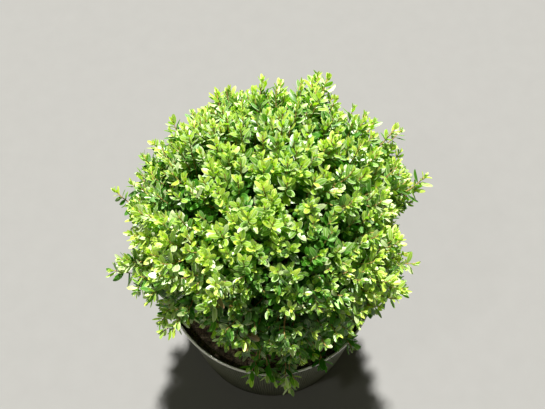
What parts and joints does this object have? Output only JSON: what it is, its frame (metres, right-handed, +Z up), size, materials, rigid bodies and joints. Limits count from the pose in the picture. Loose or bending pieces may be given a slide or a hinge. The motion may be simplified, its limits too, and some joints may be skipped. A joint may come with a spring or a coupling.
{
  "type": "potted box shrub",
  "caption": "Round, leafy box shrub grown as a loose ball in a round fluted nursery pot, which stands on its flat underside.",
  "frame": {"origin": "centre of the pot's flat underside", "axes": "+Z up along the pot's axis, -Y towards the front, the side that the picture looks at, and +X to its right"},
  "size_m": [0.3909, 0.3667, 0.5545],
  "materials": {
    "pot_plastic": "dark grey moulded plastic with fine upright flutes and a smooth rolled lip, a little dusty",
    "compost": "coarse, dark, moist potting compost with bark chips and a few fallen leaves",
    "bark": "fine-grained yellow-brown bark, greener on the young twigs",
    "foliage": "small leathery leaves, mid-green with a soft gloss, with bright yellow-green new tips"
  },
  "bodies": {
    "root": {"pot": "pot_plastic", "compost": "compost", "stem": "bark", "bough_top": "bark", "bough_upper_1": "bark", "bough_upper_2": "bark", "bough_upper_3": "bark", "bough_upper_4": "bark", "bough_upper_5": "bark", "bough_lower_1": "bark", "bough_lower_2": "bark", "bough_lower_3": "bark", "bough_lower_4": "bark", "bough_lower_5": "bark", "bough_lower_6": "bark", "bough_lower_7": "bark", "foliage_top": "foliage", "foliage_upper_1": "foliage", "foliage_upper_2": "foliage", "foliage_upper_3": "foliage", "foliage_upper_4": "foliage", "foliage_upper_5": "foliage", "foliage_lower_1": "foliage", "foliage_lower_2": "foliage", "foliage_lower_3": "foliage", "foliage_lower_4": "foliage", "foliage_lower_5": "foliage", "foliage_lower_6": "foliage", "foliage_lower_7": "foliage"}
  },
  "joints": []
}
